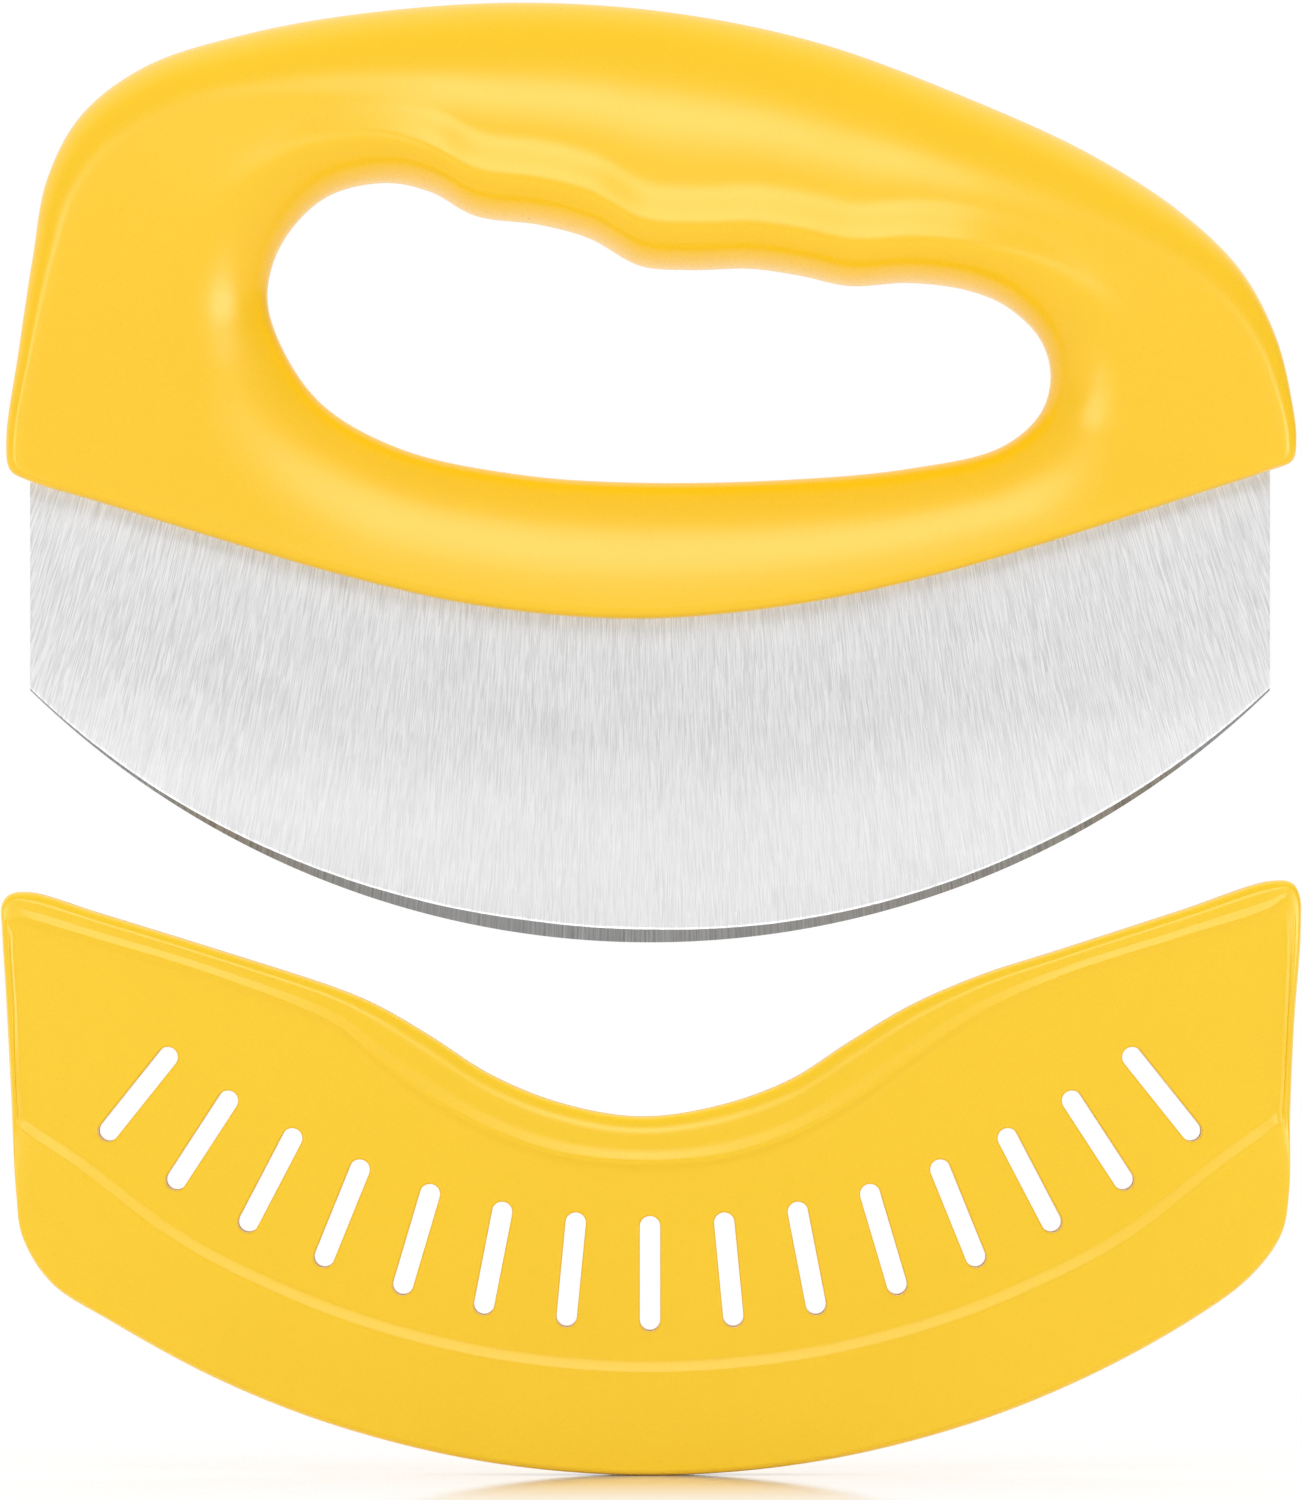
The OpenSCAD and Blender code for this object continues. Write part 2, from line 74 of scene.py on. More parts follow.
# The soft boxes: name, radiance as a multiple of the white of the backdrop, width and height,
# and place. They stand round the camera's line of sight, so that every surface that leans a
# little away from it catches one of them.
LIGHT_AIM = Vector((0, 0, -0.05))
SOFT_BOXES = (
    ("soft_box_above", 3.4, (0.36, 0.32), (0.02, -0.90, 0.33)),
    ("soft_box_left", 3.4, (0.34, 0.36), (-0.47, -0.88, -0.10)),
    ("soft_box_right", 5.4, (0.50, 0.36), (0.60, -0.86, -0.18)),
)

# The crown from the left end over the top to the right end: x as a share of the width, depth
# below the crown as a share of the height, share of the swell from the keel's thickness to the
# grip's
CROWN_SHARES = (
    (-0.498, 0.708, 0.04), (-0.489, 0.572, 0.10), (-0.478, 0.417, 0.20), (-0.467, 0.287, 0.32),
    (-0.441, 0.183, 0.45), (-0.392, 0.104, 0.60), (-0.311, 0.050, 0.80), (-0.217, 0.016, 0.95),
    (-0.101, 0.000, 1.00), (0.016, 0.016, 1.00), (0.132, 0.066, 1.00), (0.248, 0.156, 0.95),
    (0.342, 0.246, 0.80), (0.411, 0.339, 0.60), (0.458, 0.436, 0.40), (0.485, 0.546, 0.22),
    (0.497, 0.650, 0.10), (0.500, 0.708, 0.04),
)
# The keel from the right end to the left end, in the same shares
KEEL_SHARES = (
    (0.497, 0.744, 0), (0.481, 0.758, 0), (0.411, 0.806, 0), (0.318, 0.869, 0), (0.225, 0.926, 0),
    (0.116, 0.975, 0), (-0.008, 0.999, 0), (-0.132, 0.978, 0), (-0.241, 0.927, 0),
    (-0.334, 0.870, 0), (-0.427, 0.810, 0), (-0.481, 0.776, 0), (-0.495, 0.759, 0),
)
# The finger hole from its left end over the four grooves and back along the bar. The last share
# is the swell from the bar's thickness to the grip's.
HOLE_SHARES = (
    (-0.297, 0.475, 0.25), (-0.286, 0.391, 0.45), (-0.252, 0.316, 0.70), (-0.206, 0.292, 0.90),
    (-0.171, 0.306, 1.00), (-0.136, 0.345, 1.00), (-0.085, 0.360, 1.00), (-0.047, 0.382, 1.00),
    (-0.008, 0.426, 1.00), (0.031, 0.433, 1.00), (0.078, 0.431, 1.00), (0.116, 0.442, 1.00),
    (0.155, 0.459, 1.00), (0.202, 0.454, 1.00), (0.248, 0.467, 0.95), (0.278, 0.494, 0.80),
    (0.303, 0.546, 0.58), (0.311, 0.605, 0.35), (0.303, 0.666, 0.18), (0.272, 0.721, 0.06),
    (0.202, 0.755, 0.00), (0.109, 0.773, 0.00), (-0.008, 0.778, 0.00), (-0.101, 0.765, 0.00),
    (-0.194, 0.723, 0.00), (-0.255, 0.650, 0.05), (-0.287, 0.553, 0.12),
)
# Where the sections of the handle run: place on the outside, place on the hole's curve that
# faces it, and a weight for the number of sections up to the next row
SECTION_SHARES = (
    (0, -0.60, 2), (1, -0.25, 2), (2, 0.25, 4), (4, 1.10, 4), (6, 2.30, 3), (7, 3.10, 6),
    (8, 5.50, 8), (9, 8.20, 8), (10, 11.20, 7), (11, 13.60, 5), (12, 15.00, 3), (13, 15.80, 3),
    (14.5, 16.60, 3), (16, 17.15, 2), (17, 17.50, 2), (18, 17.90, 1), (19, 18.35, 2),
    (20, 18.90, 3), (22, 20.35, 4), (24, 22.00, 6), (26, 23.90, 6), (28, 25.25, 5),
    (29, 25.60, 2), (30, 26.00, 2), (31, 26.40, 0),
)
# Share of a section that its two rounded edges may take up
ROUND_SHARE = 0.95
# Power of the swell that the rounding of the crown grows by, and power of the share of the way to
# the hole that the thickness grows by
CROWN_POWER, SWELL_POWER = 1.4, 0.45
# Distance from the hole to the ridge as a share of how far the rim rounds over at the grooves
RIDGE_SHARE = 0.9
# The tang from its left shoulder to its right one, in shares of the width and the height
TANG_SHARES = (
    (-0.450, 0.725), (-0.450, 0.560), (-0.347, 0.560), (-0.232, 0.780), (-0.132, 0.819),
    (0.105, 0.825), (0.232, 0.797), (0.305, 0.747), (0.368, 0.615), (0.450, 0.615),
    (0.450, 0.725),
)
# Height of the ground bevel from the left end of the edge to the right one, as a share of its
# greatest height
BEVEL_SHARES = (0.1, 0.24, 0.52, 0.8, 1, 0.96, 0.75, 0.64, 0.57, 0.38, 0.13)

# The dip of the cover: x as a share of the handle's width, depth as a share of the dip's,
# height of the lip as a share of the lip's, share of that height down to the lip's foot
DIP_SHARES = (
    (-0.241, -0.48, 0.66, 0.97), (-0.210, -0.28, 0.97, 0.90), (-0.171, 0.06, 1.17, 0.84),
    (-0.124, 0.51, 1.13, 0.80), (-0.070, 0.84, 1.09, 0.77), (-0.008, 1.00, 1.00, 0.76),
    (0.054, 0.87, 1.09, 0.77), (0.109, 0.57, 1.13, 0.80), (0.155, 0.13, 1.17, 0.84),
    (0.202, -0.29, 0.97, 0.90), (0.256, -0.64, 0.66, 0.97),
)
# Rows of the keel that the cover's top follows on the left and on the right of the dip
LEFT_SLANT_ROWS = (11, 10, 9)
RIGHT_SLANT_ROWS = (3, 2, 1)
# The ends of the cover: x as a share of its width and depth below its top as a share of its
# height, for the outline and for the edge of the panel
RIGHT_END_SHARES = (
    (0.493, 0.002, 0.484, 0.048), (0.499, 0.022, 0.488, 0.062), (0.500, 0.086, 0.489, 0.120),
    (0.495, 0.237, 0.486, 0.245), (0.492, 0.388, 0.483, 0.372), (0.491, 0.523, 0.479, 0.388),
    (0.485, 0.593, 0.468, 0.408), (0.461, 0.664, 0.436, 0.458),
)
LEFT_END_SHARES = (
    (-0.460, 0.674, -0.436, 0.462), (-0.482, 0.598, -0.468, 0.416), (-0.487, 0.523, -0.479, 0.398),
    (-0.491, 0.355, -0.483, 0.355), (-0.495, 0.187, -0.486, 0.215), (-0.498, 0.077, -0.489, 0.110),
    (-0.498, 0.039, -0.488, 0.084), (-0.492, 0.022, -0.482, 0.078),
)
# Height of the ledge below the foot of the lip and of the rim, as a share of their height over
# the panel, and share of the lip's height over which it rounds up to its crest
LEDGE_SHARE, LIP_ROUND_SHARE = 0.3, 0.3
# Place on the lip's face where it turns out further, and the share of its lean up to there
TURN_SHARE, TURN_LEAN_SHARE = 0.5, 0.25
# The bottom of the cover: x of each point of the arc as a share of the cover's width
ARC_SHARES = (0.415, 0.331, 0.238, 0.123, 0, -0.123, -0.238, -0.331, -0.415)
# Share of the shorter side next to a corner that the corner's rounding may take up
CUT_SHARE = 0.9

# Facets over each stretch of the handle's skin and of its cavity
SKIN_STEPS, CAVITY_STEPS = 10, 3
# Facets along the cutting edge and along the blade's room in the cover
EDGE_STEPS, ROOM_STEPS = 240, 96
# Facets from one row of the cover to the next, over its outer edge and over a rounded corner
ROW_STEPS, ROUND_STEPS, CORNER_STEPS = 12, 8, 5
# Facets round the end of a drain slot and over its flare
SLOT_STEPS, FLARE_STEPS = 12, 6

# How far the normals of the bevel's faces point forwards or back, and how far down. The plate,
# the burr and the ends of the blade lie outside these limits.
BEVEL_FORWARD, BEVEL_DOWN = (0.1, 0.97), 0.1
# The layers of brush marks: lean in the fan's coordinates, and cells per radian across the rays
# and per metre along them
MARK_LAYERS = ((0, (2400, 340, 1)), (0.04, (2000, 290, 1)), (-0.04, (2800, 400, 1)))
# Where the sum of these layers mostly lies, and the tones that it gives on the plate and on the
# band near the cutting edge, where the steel is painted brighter as a reflection of the studio
MARKS_LOW, MARKS_HIGH = 0.9, 2.1
PLATE_TONES, REFLECTION_BAND_TONES = (0.83, 1.17), (1.01, 1.25)
# Distances from the brush centre between which the band of painted reflection comes in
REFLECTION_BAND_START, REFLECTION_BAND_FULL = 0.304, 0.322
# Distances from the blade's plane between which the floor's mirror image fades, and the share of
# plain white that the floor shows beyond
FADE_START, FADE_END = 0.018, 0.072
FLOOR_WHITE = 0.9


def linear(code):
    """Linear red, green and blue of an sRGB hex colour."""
    parts = (int(code[i:i + 2], 16) / 255 for i in (0, 2, 4))
    return tuple(p / 12.92 if p <= 0.04045 else ((p + 0.055) / 1.055) ** 2.4 for p in parts)


def length(name, description, default):
    """A length in metres that a user can change."""
    return FloatProperty(name=name, description=description, default=default, unit="LENGTH")


def portion(name, description, default):
    """A share from 0 to 1 that a user can change."""
    return FloatProperty(
        name=name, description=description, default=default, subtype="FACTOR", min=0, max=1
    )


def colour(name, description, code):
    """A colour that a user can change, from its sRGB hex value."""
    return FloatVectorProperty(
        name=name, description=description, default=linear(code), subtype="COLOR", min=0, max=1
    )


class HandleSettings(bpy.types.PropertyGroup):
    """Sizes and colour of the handle"""

    width: length("Width", "Handle from end to end", 0.190)
    height: length("Height", "Handle from the top of the crown to the keel", 0.091)
    crown: length("Crown", "Height of the crown above the middle of the grip", 0.0195)
    grip: length("Grip", "Thickness of the grip bar", 0.0235)
    bar: length("Bar", "Thickness of the bar below the finger hole", 0.014)
    keel: length("Keel", "Thickness along the keel", 0.0155)
    keel_round: length("Keel round", "Radius of the edge along the keel", 0.0016)
    crown_round: length("Crown round", "How far the crown rounds over", 0.022)
    crown_width: length("Crown width", "Width of the section where it rounds over so far", 0.038)
    rim_round: length("Rim round", "How far the finger hole's rim rounds over at the bar", 0.018)
    groove_round: length("Groove round", "How far it rounds over at the grooves", 0.006)
    ridge: length("Ridge", "Height of the ridge along the finger grooves", 0.0010)
    ridge_width: length("Ridge width", "Width of the rise to that ridge", 0.007)
    wall: length("Wall", "Wall of the two shells", 0.0026)
    seam: length("Seam", "Flat beside the seam between the shells", 0.0005)
    tang_gap: length("Tang gap", "Gap round the tang in its pocket", 0.0002)
    sections: IntProperty(name="Sections", description="Sections round the handle", default=372)
    colour: colour("Colour", "Yellow of the handle's plastic", "FECB04")


class BladeSettings(bpy.types.PropertyGroup):
    """Sizes and colour of the blade"""

    thickness: length("Thickness", "Thickness of the blade", 0.0015)
    inset: length("Inset", "How far each end stands in from the handle's", 0.0036)
    reach: length("Reach", "How far the blade reaches below the keel", 0.0476)
    radius: length("Edge radius", "Radius of the cutting edge", 0.131)
    bevel: length("Bevel", "Greatest height of the ground bevel", 0.0020)
    keen: length("Keenness", "Thickness left at the cutting edge", 0.0001)
    burr: length("Burr", "Width of the burr along the top of the bevel", 0.0003)
    burr_rise: length("Burr rise", "How far the burr stands proud", 0.00006)
    corner: length("Corner", "Radius broken off the blade's other edges", 0.00002)
    brush_centre: length("Brush centre", "Height that the brush marks fan out from", 0.218)
    colour: colour("Colour", "Grey of the brushed steel", "D7D7D8")
    # The bevel's grey is darker than the plate's: painted shade for the dark reflection on the
    # downward-facing bevel
    bevel_shade_colour: colour("Bevel colour", "Grey of the ground bevel", "969799")


class CoverSettings(bpy.types.PropertyGroup):
    """Sizes and colour of the cover"""

    over: length("Overhang", "How much further than the handle it reaches", 0.0009)
    height: length("Height", "Height of the cover", 0.0878)
    border: length("Border", "Width of the border below the panel", 0.017)
    wall: length("Pocket wall", "Wall beyond the cutting edge", 0.0012)
    tip_gap: length("Tip gap", "Gap below the cutting edge", 0.0013)
    side_gap: length("Side gap", "Gap at each end of the blade", 0.0005)
    face_gap: length("Face gap", "Gap at each face of the blade", 0.0003)
    panel: length("Panel", "Thickness of the panel over the blade", 0.0064)
    border_thick: length("Border thickness", "Thickness of the border and of the rim", 0.0072)
    lip: length("Lip", "Thickness of the lip in the middle of the dip", 0.0082)
    lip_height: length("Lip height", "Height of the lip in the middle of the dip", 0.0103)
    edge_round: length("Edge round", "Radius of the outer edge", 0.001)
    lean: portion("Lip lean", "How far the lip's face leans back, as a share", 0.6)
    dip: length("Dip", "Depth of the dip in the top", 0.0127)
    keel_gap: length("Keel gap", "Gap under the keel when the cover is on", 0.0016)
    travel: length("Travel", "How far the cover is drawn down off the blade", 0.059)
    step: length("Step", "Width of the step at the lip's foot and the panel's edge", 0.0012)
    flat: length("Seam flat", "Flat on each side of the seam, over the half slot", 0.0015)
    slot_inset: length("Slot inset", "From the cover's end to the outermost slot", 0.0205)
    slot_width: length("Slot width", "Width of a drain slot", 0.003)
    slot_length: length("Slot length", "Length of a drain slot", 0.017)
    slot_round: length("Slot round", "Radius of the edge round a drain slot", 0.00035)
    slots: IntProperty(name="Slots", description="Number of drain slots", default=15)
    colour: colour("Colour", "Yellow of the cover's plastic", "FECF05")


class StageSettings(bpy.types.PropertyGroup):
    """Camera, lamps and floor"""

    distance: length("Distance", "From the camera to the blade", 1.6)
    floor: length("Floor", "Side of the floor", 6.0)
    front: FloatProperty(name="Front", description="Strength of the room in front", default=0.25)
    side: portion("Side", "Share of it left on the right", 0.1)
    fill: FloatProperty(name="Fill", description="Strength of the even light", default=1.13)
    colour: colour("Colour", "White of the floor and the backdrop", "FFFFFF")


def mix(a, b, share):
    """The value a share of the way from one to the other."""
    return a + (b - a) * share


def curve_at(rows, place):
    """Row at a place on the smooth closed curve through rows, counted in rows."""
    count = len(rows)
    start = math.floor(place)
    p = [rows[(start + k) % count] for k in (-1, 0, 1, 2)]
    knots = [0.0]
    for a, b in zip(p, p[1:]):
        knots.append(knots[-1] + math.sqrt(math.hypot(b[0] - a[0], b[1] - a[1])))
    t = mix(knots[1], knots[2], place - start)

    def slide(a, b, low, high):
        share = (t - low) / (high - low)
        return [mix(x, y, share) for x, y in zip(a, b)]

    first = [slide(p[k], p[k + 1], knots[k], knots[k + 1]) for k in range(3)]
    second = [slide(first[k], first[k + 1], knots[k], knots[k + 2]) for k in range(2)]
    return slide(second[0], second[1], knots[1], knots[2])


def smooth_table(marks, values, period):
    """Function through values at rising marks, smooth and never turning back between them."""
    steps = [b - a for a, b in zip(marks, marks[1:])]
    slopes = [(b - a) / step for a, b, step in zip(values, values[1:], steps)]
    tangents = []
    for k in range(len(marks) - 1):
        before, after = slopes[k - 1], slopes[k]
        tangents.append(0 if before * after <= 0 else 2 * before * after / (before + after))
    tangents.append(tangents[0])

    def value(mark):
        mark = mark % period
        k = max(i for i, m in enumerate(marks[:-1]) if m <= mark)
        t = (mark - marks[k]) / steps[k]
        return (
            (1 + 2 * t) * (1 - t) ** 2 * values[k]
            + t * (1 - t) ** 2 * steps[k] * tangents[k]
            + t * t * (3 - 2 * t) * values[k + 1]
            - t * t * (1 - t) * steps[k] * tangents[k + 1]
        )

    return value


def deselect():
    """Leave edit mode and select nothing."""
    if bpy.context.mode != "OBJECT":
        bpy.ops.object.mode_set(mode="OBJECT")
    bpy.ops.object.select_all(action="DESELECT")


def pick(piece):
    """Make a piece the only one selected."""
    deselect()
    piece.select_set(True)
    bpy.context.view_layer.objects.active = piece


def seat(piece, loop):
    """Move the selected ring of vertices to its places."""
    mesh = bmesh.from_edit_mesh(piece.data)
    layer = mesh.verts.layers.int["place"]
    for vertex in mesh.verts:
        if vertex.select:
            vertex.co = loop[vertex[layer]]
    bmesh.update_edit_mesh(piece.data)


def draw_out(name, loops, closed):
    """Extrude a ring of vertices from loop to loop. The last loop joins the first, or both are
    filled with a face."""
    deselect()
    count = len(loops[0])
    bpy.ops.mesh.primitive_circle_add(vertices=count, radius=Vector(loops[0][0]).length)
    piece = bpy.context.object
    piece.name = piece.data.name = name
    place = piece.data.attributes.new("place", "INT", "POINT")
    place.data.foreach_set("value", range(count))
    bpy.ops.object.mode_set(mode="EDIT")
    bpy.ops.mesh.select_all(action="SELECT")
    seat(piece, loops[0])
    for loop in list(loops[1:]) + ([loops[0]] if closed else []):
        bpy.ops.mesh.extrude_edges_indiv()
        seat(piece, loop)
    if closed:
        bpy.ops.mesh.select_all(action="SELECT")
        bpy.ops.mesh.remove_doubles(threshold=1e-7)
    else:
        bpy.ops.mesh.edge_face_add()
        bpy.ops.mesh.select_all(action="DESELECT")
        bpy.ops.mesh.select_non_manifold()
        bpy.ops.mesh.edge_face_add()
    bpy.ops.mesh.select_all(action="SELECT")
    bpy.ops.mesh.normals_make_consistent(inside=False)
    deselect()
    piece.data.attributes.remove(piece.data.attributes["place"])
    return piece


def cut_out(piece, tool):
    """Cut a tool out of a piece and remove the tool."""
    pick(piece)
    bpy.ops.object.modifier_add(type="BOOLEAN")
    modifier = piece.modifiers[-1]
    modifier.operation = "DIFFERENCE"
    modifier.solver = "EXACT"
    modifier.object = tool
    bpy.ops.object.modifier_apply(modifier=modifier.name)
    bpy.data.objects.remove(tool)


def finish_piece(piece, body, node, material, crease, weighted):
    """Smooth a piece up to its creases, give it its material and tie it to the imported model."""
    pick(piece)
    bpy.ops.object.shade_smooth_by_angle(angle=math.radians(crease))
    if weighted:
        bpy.ops.object.modifier_add(type="WEIGHTED_NORMAL")
        piece.modifiers[-1].keep_sharp = True
        bpy.ops.object.modifier_apply(modifier=piece.modifiers[-1].name)
    piece.data.materials.clear()
    piece.data.materials.append(material)
    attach(piece, body)
    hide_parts(node)


class HandleForm:
    """The curves and sections of the handle"""

    def __init__(self, sizes):
        self.sizes = sizes
        rows = CROWN_SHARES + KEEL_SHARES
        self.outer_rows = [self.row(r, sizes.keel) for r in rows]
        self.hole_rows = [self.row(r, sizes.bar) for r in HOLE_SHARES]
        marks = [0]
        for row in SECTION_SHARES[:-1]:
            marks.append(marks[-1] + row[2])
        self.total = marks[-1]
        self.outer_place = smooth_table(marks, [r[0] for r in SECTION_SHARES], self.total)
        self.hole_place = smooth_table(marks, [r[1] for r in SECTION_SHARES], self.total)

    def row(self, shares, thin):
        """Row of a curve: x, z, half the thickness and share of the swell."""
        s = self.sizes
        half = mix(thin, s.grip, shares[2]) / 2
        return (shares[0] * s.width, s.crown - shares[1] * s.height, half, shares[2])

    def half_at(self, outer, hole, share):
        """Half the thickness of a section at a share of the way from the outside to the hole."""
        s = self.sizes
        left = math.dist(outer[:2], hole[:2]) * (1 - share)
        rise = min(max(1 - (left - RIDGE_SHARE * s.groove_round) / s.ridge_width, 0), 1)
        half = mix(outer[2], hole[2], share ** SWELL_POWER)
        return half + s.ridge * hole[3] * rise * rise * (3 - 2 * rise)

    def profile(self, outer, hole, inset, steps):
        """Section from the outside to the hole, as distance across and height over the seam."""
        s = self.sizes
        d = math.dist(outer[:2], hole[:2])
        swell = outer[3]
        rim = mix(s.rim_round, s.groove_round, hole[3])
        rise = mix(s.keel / 2 - s.keel_round, s.seam, swell)
        crown = s.crown_round * min(1, d / s.crown_width)
        crown = mix(s.keel_round, crown, max(swell, 0) ** CROWN_POWER)
        fit = min(1, ROUND_SHARE * d / (crown + rim))
        ro = max(crown * fit - inset, s.keel_round / 2)
        ri = rim * fit - inset / 2

        def top(distance):
            return self.half_at(outer, hole, distance / d) - inset

        low = max(min(rise, top(inset + ro) - ro), s.seam)
        points = [(inset, 0)]
        for j in range(steps + 1):
            turn = math.pi / 2 * j / steps
            across = inset + ro * (1 - math.cos(turn))
            points.append((across, low + (top(across) - low) * math.sin(turn)))
        for j in range(1, steps):
            across = mix(inset + ro, d - inset - ri, j / steps)
            points.append((across, top(across)))
        for j in range(steps, -1, -1):
            turn = math.pi / 2 * j / steps
            across = d - inset - ri * (1 - math.cos(turn))
            points.append((across, s.seam + (top(across) - s.seam) * math.sin(turn)))
        points.append((d - inset, 0))
        return [(across / d, height) for across, height in points]

    def loops(self, side):
        """Loops round the handle, over the skin and back through the cavity, on one side."""
        s = self.sizes
        rings = []
        for i in range(s.sections):
            mark = self.total * i / s.sections
            outer = curve_at(self.outer_rows, self.outer_place(mark))
            hole = curve_at(self.hole_rows, self.hole_place(mark))
            skin = self.profile(outer, hole, 0, SKIN_STEPS)
            cavity = self.profile(outer, hole, s.wall, CAVITY_STEPS)
            rings.append([
                (mix(outer[0], hole[0], share), side * height, mix(outer[1], hole[1], share))
                for share, height in skin + cavity[::-1]
            ])
        return list(zip(*rings))


class BladeForm:
    """The outline of the blade"""

    def __init__(self, handle, blade):
        self.handle = handle
        self.blade = blade
        self.keel_z = handle.crown - handle.height
        self.edge_z = self.keel_z - blade.reach
        self.arc_z = self.edge_z + blade.radius
        self.half = handle.width / 2 - blade.inset

    def tang(self, gap):
        """Points of the tang from its right shoulder to its left one, grown by a gap."""
        h = self.handle
        points = [
            (x * h.width + math.copysign(gap, x), h.crown - z * h.height + gap)
            for x, z in TANG_SHARES
        ]
        shoulder = points[0][1]
        points = [(-self.half - gap, shoulder)] + points + [(self.half + gap, shoulder)]
        return points[::-1]

    def arc(self, radius, half, count):
        """Points of an arc round the cutting edge's centre, from left to right."""
        turn = math.asin(half / radius)
        angles = [mix(-turn, turn, k / count) for k in range(count + 1)]
        return [(radius * math.sin(a), self.arc_z - radius * math.cos(a)) for a in angles]

    def arc_point(self, radius, x):
        """Point of such an arc at a distance to the right of its middle."""
        return (x, self.arc_z - math.sqrt(radius * radius - x * x))


def blade_loops(form):
    """Loops round the blade from the front face over the cutting edge to the rear face."""
    blade = form.blade
    arc = form.arc(blade.radius, form.half, EDGE_STEPS)
    count = len(BEVEL_SHARES) - 1
    tang = form.tang(0)
    half = blade.thickness / 2

    def bevel(x):
        place = min(max((x / form.half + 1) / 2, 0), 1) * count
        k = min(int(place), count - 1)
        return blade.bevel * mix(BEVEL_SHARES[k], BEVEL_SHARES[k + 1], place - k)

    def ring(bevel_share, above, edge_y, plain_inset, plain_y):
        loop = []
        for x, z in arc:
            height = bevel(x) * bevel_share + above
            lift = height * blade.radius / (form.arc_z - z)
            loop.append((x - x / form.half * plain_inset, edge_y, z + lift))
        for x, z in tang:
            loop.append((x - math.copysign(plain_inset, x), plain_y, z - plain_inset))
        return loop

    front = [
        ring(1, blade.burr, -half, blade.corner, -half),
        ring(1, 0, -half - blade.burr_rise, blade.corner, -half),
        ring(0, 0, -blade.keen / 2, 0, blade.corner - half),
    ]
    rear = [[(x, -y, z) for x, y, z in loop] for loop in reversed(front)]
    return front + rear


class CoverForm:
    """The outline and sections of the cover, drawn as it sits on the blade"""

    def __init__(self, cover, plate):
        handle = plate.handle
        self.cover = cover
        self.plate = plate
        self.width = handle.width + 2 * cover.over
        self.panel_r = plate.blade.radius + cover.tip_gap + cover.wall
        self.outline_r = self.panel_r + cover.border
        last = KEEL_SHARES[RIGHT_SLANT_ROWS[2]]
        self.top_z = handle.crown - last[1] * handle.height - cover.keel_gap
        self.dip_z = plate.keel_z - cover.keel_gap
        self.foot_mid = min(row[3] for row in DIP_SHARES)
        self.foot_end = max(row[3] for row in DIP_SHARES)
        self.rows = (
            [self.slant_row(KEEL_SHARES[i]) for i in LEFT_SLANT_ROWS]
            + [self.lip_row(x * handle.width, self.dip_z - z * cover.dip, h * cover.lip_height, s)
               for x, z, h, s in DIP_SHARES]
            + [self.slant_row(KEEL_SHARES[i]) for i in RIGHT_SLANT_ROWS]
            + [self.end_row(row) for row in RIGHT_END_SHARES]
            + [self.border_row(share * self.width) for share in ARC_SHARES]
            + [self.end_row(row) for row in LEFT_END_SHARES]
        )

    def lip_row(self, x, z, height, share):
        """Row of the lip: points of the outline and of the panel, half the thickness, rounding,
        half the thickness at the foot and the foot's share of the way to the panel."""
        c = self.cover
        rise = (1 - share) / (1 - self.foot_mid)
        thick = mix(c.border_thick, c.lip, rise)
        ledge = mix(c.panel, thick, LEDGE_SHARE * rise) / 2
        return (x, z, x, z - height, thick / 2, height * LIP_ROUND_SHARE, ledge, share)

    def slant_row(self, shares):
        """Row of the lip where the cover's top follows the keel."""
        h, c = self.plate.handle, self.cover
        z = h.crown - shares[1] * h.height - c.keel_gap
        return self.lip_row(shares[0] * h.width, z, c.lip_height / 2, self.foot_end)

    def end_row(self, shares):
        """Row of an end of the cover."""
        x, z, px, pz = shares
        high = self.cover.height
        return self.rim_row(
            (x * self.width, self.top_z - z * high), (px * self.width, self.top_z - pz * high)
        )

    def border_row(self, x):
        """Row of the border along the bottom of the cover."""
        return self.rim_row(
            self.plate.arc_point(self.outline_r, x),
            self.plate.arc_point(self.panel_r, x * self.panel_r / self.outline_r),
        )

    def rim_row(self, out, inner):
        """Row of the rim round the panel, from a point of its outline to one of the panel."""
        c = self.cover
        foot = mix(c.panel, c.border_thick, LEDGE_SHARE) / 2
        share = 1 - c.step / math.dist(out, inner) / 2
        return (*out, *inner, c.border_thick / 2, c.edge_round, foot, share)

    def ring(self, row, side):
        """Section of the cover from its outline to the panel."""
        c = self.cover
        out, inner = row[0:2], row[2:4]
        d = math.dist(out, inner)
        r = min(row[5], d / 2)
        foot = d * row[7]
        crest = max(foot - c.step, (r + foot) / 2)
        edge = row[4] - c.lean * max(0, row[4] - c.panel / 2)
        low = min(c.flat, edge - r / 2)
        points = [(0, 0)]
        for j in range(ROUND_STEPS + 1):
            turn = math.pi / 2 * j / ROUND_STEPS
            points.append((r * (1 - math.cos(turn)), low + (edge - low) * math.sin(turn)))
        bend = (mix(r, crest, TURN_SHARE), mix(edge, row[4], TURN_LEAN_SHARE))
        shortest = min(d - foot, foot - crest, (crest - r) * TURN_SHARE)
        points += round_corners([
            (r, edge), bend, (crest, row[4]), (foot, row[6]), (d, c.panel / 2),
            (d + c.step, c.panel / 2),
        ], min(c.step, shortest * CUT_SHARE) / 2)
        ring = []
        for across, height in points:
            share = across / d
            ring.append((
                mix(out[0], inner[0], share), side * height,
                mix(out[1], inner[1], share) - c.travel,
            ))
        return ring

    def loops(self, side):
        """Loops round the cover from its seam to its panel, on one side."""
        count = len(self.rows) * ROW_STEPS
        rings = [self.ring(curve_at(self.rows, i / ROW_STEPS), side) for i in range(count)]
        return list(zip(*rings))


